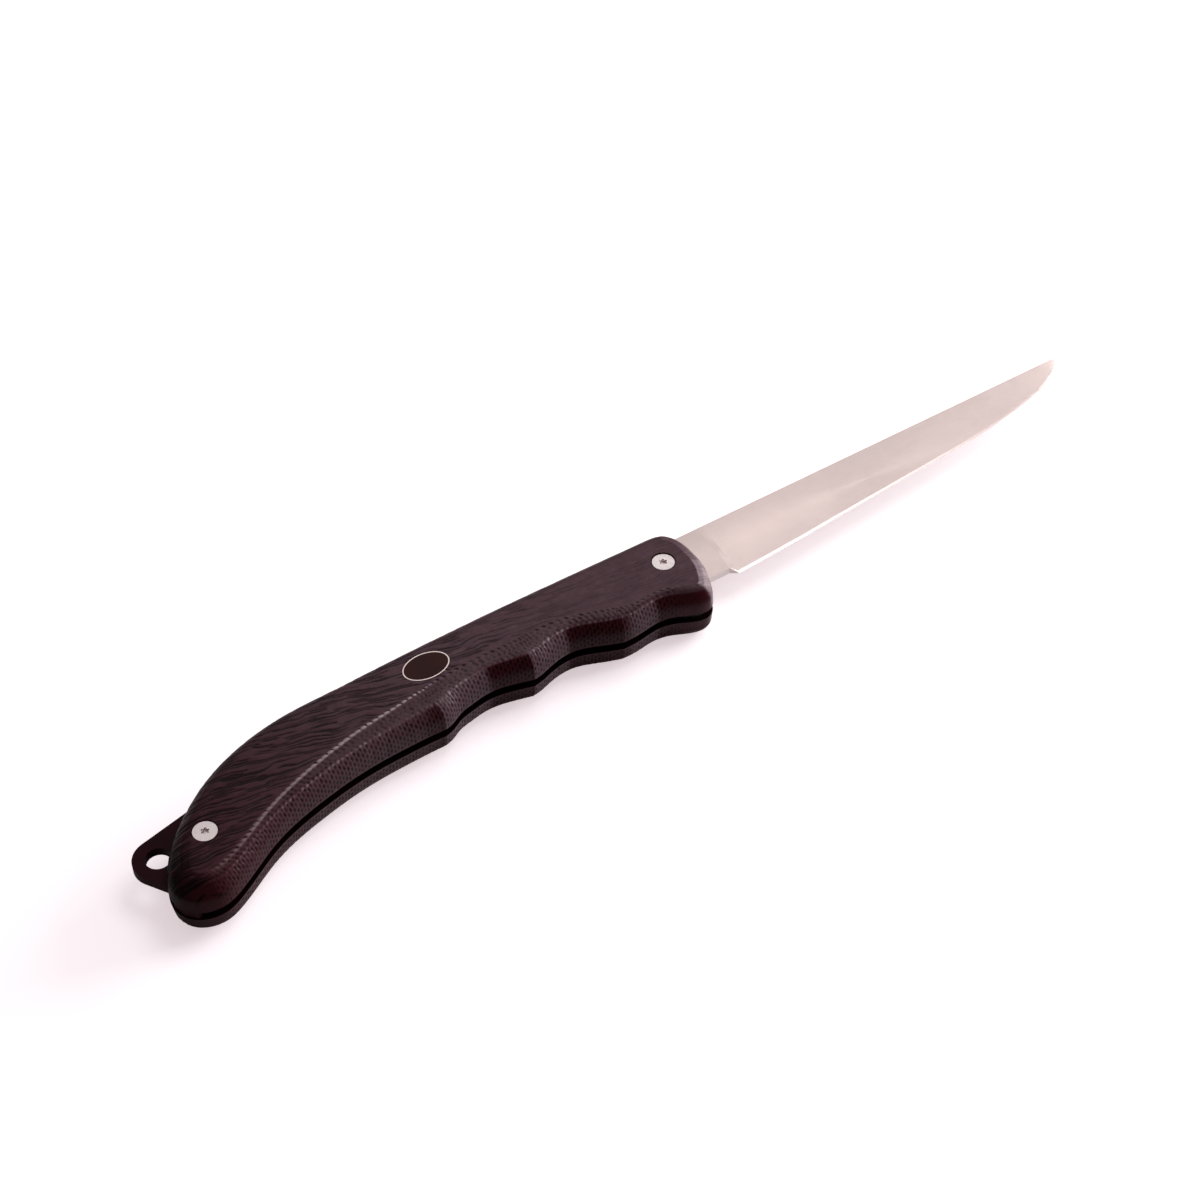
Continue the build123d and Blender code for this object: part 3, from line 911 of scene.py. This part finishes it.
def rubber_material():
    """Moulded dark brown rubber with painted light and shade: paler on its lit faces, painted darker on its
    walls and in its cuts.
    """
    made, shader = new_material("grip_rubber")
    relief = add_node(made, "ShaderNodeAttribute", attribute_name="relief")
    paleness = add_node(made, "ShaderNodeAttribute", attribute_name="paleness")
    raised = spread(made, relief.outputs["Fac"], rubber_relief, rubber_relief_tones)
    mottle = noise(made, stretched_place(made), rubber_mottle_scale, detail=6.0, roughness=0.8)
    tone = spread(made, added(made, mottle, raised), (0.0, rubber_most_tone), (0.0, 1.0))
    mixed = add_node(made, "ShaderNodeMix", data_type="RGBA")
    join(made, paleness.outputs["Fac"], mixed.inputs["Factor"])
    join(made, ramp(made, tone, rubber_shaded_wall_colours), mixed.inputs["A"])
    join(made, ramp(made, tone, rubber_face_colours), mixed.inputs["B"])
    join(made, mixed.outputs["Result"], shader.inputs["Base Color"])
    lay = stretched_place(made, rubber_skin_stretch, rubber_skin_turn_deg)
    skin = noise(made, lay, rubber_skin_scale, detail=3.0)
    join(made, spread(made, skin, noise_range, rubber_roughness), shader.inputs["Roughness"])
    polish = spread(made, paleness.outputs["Fac"], rubber_polish_paleness, rubber_polish)
    join(made, polish, shader.inputs["Specular IOR Level"])
    bump(made, shader, skin, rubber_bump)
    return made


def brushed_material(name, colour, roughness, brush, turn_deg=0.0, colour_span=0.08, anisotropic=0.0):
    """Metal with fine brush lines; brush is the stretch of the lines' pattern."""
    made, shader = new_material(name)
    lines = noise(made, stretched_place(made, brush, turn_deg), brush_scale, detail=3.0, roughness=0.6)
    clouds = noise(made, stretched_place(made), brush_cloud_scale, detail=3.0)
    halves = [spread(made, value, noise_range, (0.0, 0.5)) for value in (lines, clouds)]
    tints = (tinted(colour, 1 - colour_span), tinted(colour, 1 + colour_span))
    stops = list(zip(brush_stops, tints))
    join(made, ramp(made, added(made, *halves), stops), shader.inputs["Base Color"])
    rough = spread(made, lines, noise_range, rough_span(roughness, brush_roughness_span))
    join(made, rough, shader.inputs["Roughness"])
    shader.inputs["Metallic"].default_value = 1.0
    shader.inputs["Anisotropic"].default_value = anisotropic
    bump(made, shader, lines, brush_bump)
    return made


def coated_material(name, colour, roughness, grain_scale=900, specular=0.5):
    """A painted, coated or plastic surface with a fine uneven skin."""
    made, shader = new_material(name)
    vector = stretched_place(made)
    skin = noise(made, vector, grain_scale)
    clouds = noise(made, vector, skin_cloud_scale, detail=3.0)
    stops = list(zip(noise_range, [tinted(colour, factor) for factor in skin_colour_span]))
    join(made, ramp(made, clouds, stops), shader.inputs["Base Color"])
    rough = spread(made, skin, noise_range, rough_span(roughness, skin_roughness_span))
    join(made, rough, shader.inputs["Roughness"])
    shader.inputs["Specular IOR Level"].default_value = specular
    bump(made, shader, skin, skin_bump)
    return made


def pale_edges(material, colour, roughness):
    """Gives the upright faces of a flat part their own colour and roughness; a paler colour there is
    painted light.
    """
    shader = material.node_tree.nodes["Principled BSDF"]
    place = add_node(material, "ShaderNodeTexCoord")
    parts = add_node(material, "ShaderNodeSeparateXYZ")
    join(material, place.outputs["Normal"], parts.inputs[0])
    level = add_node(material, "ShaderNodeMath", operation="ABSOLUTE")
    join(material, parts.outputs["Z"], level.inputs[0])
    share = spread(material, level.outputs[0], upright_steps, (1.0, 0.0))
    for label, kind, value in (("Base Color", "RGBA", (*colour, 1)), ("Roughness", "FLOAT", roughness)):
        mixed = add_node(material, "ShaderNodeMix", data_type=kind)
        first, second = [socket for socket in mixed.inputs if socket.enabled and socket.name in ("A", "B")]
        join(material, share, mixed.inputs["Factor"])
        join(material, shader.inputs[label].links[0].from_socket, first)
        second.default_value = value
        join(material, [socket for socket in mixed.outputs if socket.enabled][0], shader.inputs[label])


def dress(mesh, material):
    """Gives a mesh one material in place of what it has."""
    mesh.materials.clear()
    mesh.materials.append(material)


blade_steel = brushed_material(
    "blade_steel",
    (0.70, 0.57, 0.545),
    0.34,
    brush=(0.25, 3.0, 1),
    turn_deg=8.0,
    colour_span=0.05,
    anisotropic=0.3,
)
# Painted light: the blade's upright faces are paler, to lift their dim reflection of the shadowed floor
pale_edges(blade_steel, (1.0, 0.88, 0.87), 0.6)
screw_steel = brushed_material("screw_steel", (0.82, 0.72, 0.71), 0.34, brush=(1, 1, 1), colour_span=0.10)
hardware_steel = brushed_material("hardware_steel", (0.60, 0.58, 0.57), 0.30, brush=(1, 1, 0.1))
spring_steel = brushed_material("spring_steel", (0.35, 0.35, 0.36), 0.35, brush=(0.1, 1, 1))
badge_metal = brushed_material("badge_metal", (0.95, 0.78, 0.74), 0.25, brush=(1, 1, 1))
washer_plastic = coated_material("washer_plastic", (0.70, 0.67, 0.60), 0.45)
liner_black = coated_material("liner_black", (0.007, 0.005, 0.005), 0.5, grain_scale=600, specular=0.25)
lock_black = coated_material("lock_black", (0.011, 0.008, 0.008), 0.45, grain_scale=600, specular=0.3)
plate_black = coated_material("plate_black", (0.024, 0.0030, 0.0060), 0.45, grain_scale=700, specular=0.05)
badge_dark = coated_material("badge_dark", (0.028, 0.0060, 0.0055), 0.30, grain_scale=400, specular=0.10)

node_materials = {
    "blade": blade_steel,
    "pivot_barrel": hardware_steel,
    "rear_barrel": hardware_steel,
    "pivot_screw_top": screw_steel,
    "pivot_screw_bottom": screw_steel,
    "rear_screw_top": screw_steel,
    "rear_screw_bottom": screw_steel,
    "washer_top": washer_plastic,
    "washer_bottom": washer_plastic,
    "liner_top": liner_black,
    "liner_bottom": liner_black,
    "lanyard_plate": plate_black,
    "lock_bar": lock_black,
    "lock_pin": hardware_steel,
    "lock_spring": spring_steel,
    "stop_pin": hardware_steel,
    "plate_pin": hardware_steel,
    "badge_rim": badge_metal,
    "badge_plate": badge_dark,
}
for node, material in node_materials.items():
    dress(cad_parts[node].data, material)

# Grips
skin = grip_skin()
rubber = rubber_material()
dress(make_grip("grip_upper", "grip_top", *skin, mirrored=False).data, rubber)
dress(make_grip("grip_lower", "grip_bottom", *skin, mirrored=True).data, rubber)

# Floor: its glow, which only the camera sees, whitens the background and leaves the shadow
floor_half = 3000
floor_colour = (0.80, 0.80, 0.80, 1)
floor_roughness = 0.9
glow_colour = (1.0, 0.86, 0.905, 1)
glow_level = 0.61
floor_corners = [(-1, -1), (1, -1), (1, 1), (-1, 1)]
floor_points = [(x * floor_half, y * floor_half, 0) for x, y in floor_corners]
floor = new_mesh_object("floor", floor_points, [(0, 1, 2, 3)])
floor_material, floor_shader = new_material("floor")
floor_shader.inputs["Base Color"].default_value = floor_colour
floor_shader.inputs["Roughness"].default_value = floor_roughness
floor_shader.inputs["Specular IOR Level"].default_value = 0.0
rays = add_node(floor_material, "ShaderNodeLightPath")
level = add_node(floor_material, "ShaderNodeMath", operation="MULTIPLY")
join(floor_material, rays.outputs["Is Camera Ray"], level.inputs[0])
level.inputs[1].default_value = glow_level
glow = add_node(floor_material, "ShaderNodeEmission", Color=glow_colour)
join(floor_material, level.outputs[0], glow.inputs["Strength"])
total = add_node(floor_material, "ShaderNodeAddShader")
join(floor_material, floor_shader.outputs[0], total.inputs[0])
join(floor_material, glow.outputs[0], total.inputs[1])
join(floor_material, total.outputs[0], floor_material.node_tree.nodes["Material Output"].inputs["Surface"])
dress(floor.data, floor_material)

# Light
world_level = 0.20
world = bpy.data.worlds.new("studio")
bpy.context.scene.world = world
world.use_nodes = True
background = world.node_tree.nodes["Background"]
background.inputs["Color"].default_value = (1, 1, 1, 1)
background.inputs["Strength"].default_value = world_level


def aimed_object(name, data, place, direction):
    """An object at a place in millimetres that looks along a direction."""
    made = bpy.data.objects.new(name, data)
    bpy.context.scene.collection.objects.link(made)
    made.location = Vector(place) * MM
    made.rotation_mode = "QUATERNION"
    made.rotation_quaternion = Vector(direction).to_track_quat("-Z", "Y")
    return made


def add_lamp(name, place, target, size, watts):
    """A soft rectangular lamp aimed at a point."""
    lamp = bpy.data.lights.new(name, "AREA")
    lamp.shape = "RECTANGLE"
    lamp.size, lamp.size_y = size[0] * MM, size[1] * MM
    lamp.energy = watts
    aimed_object(name, lamp, place, (Vector(target) - Vector(place)).normalized())


add_lamp("back_light", place=(450, 900, 850), target=(0, 0, 0), size=(1700, 1100), watts=3.3)
add_lamp("top_light", place=(430, 60, 1000), target=(0, 0, 0), size=(650, 500), watts=3.2)
add_lamp("right_light", place=(940, -40, 330), target=(-40, 0, 0), size=(650, 450), watts=11.0)

# Camera
camera_data = bpy.data.cameras.new("camera")
camera_data.sensor_width = camera_sensor
camera_data.lens = camera_lens
camera_data.clip_start, camera_data.clip_end = camera_clip
bpy.context.scene.camera = aimed_object("camera", camera_data, camera_place, camera_direction)
bpy.context.scene.view_settings.view_transform = "Standard"
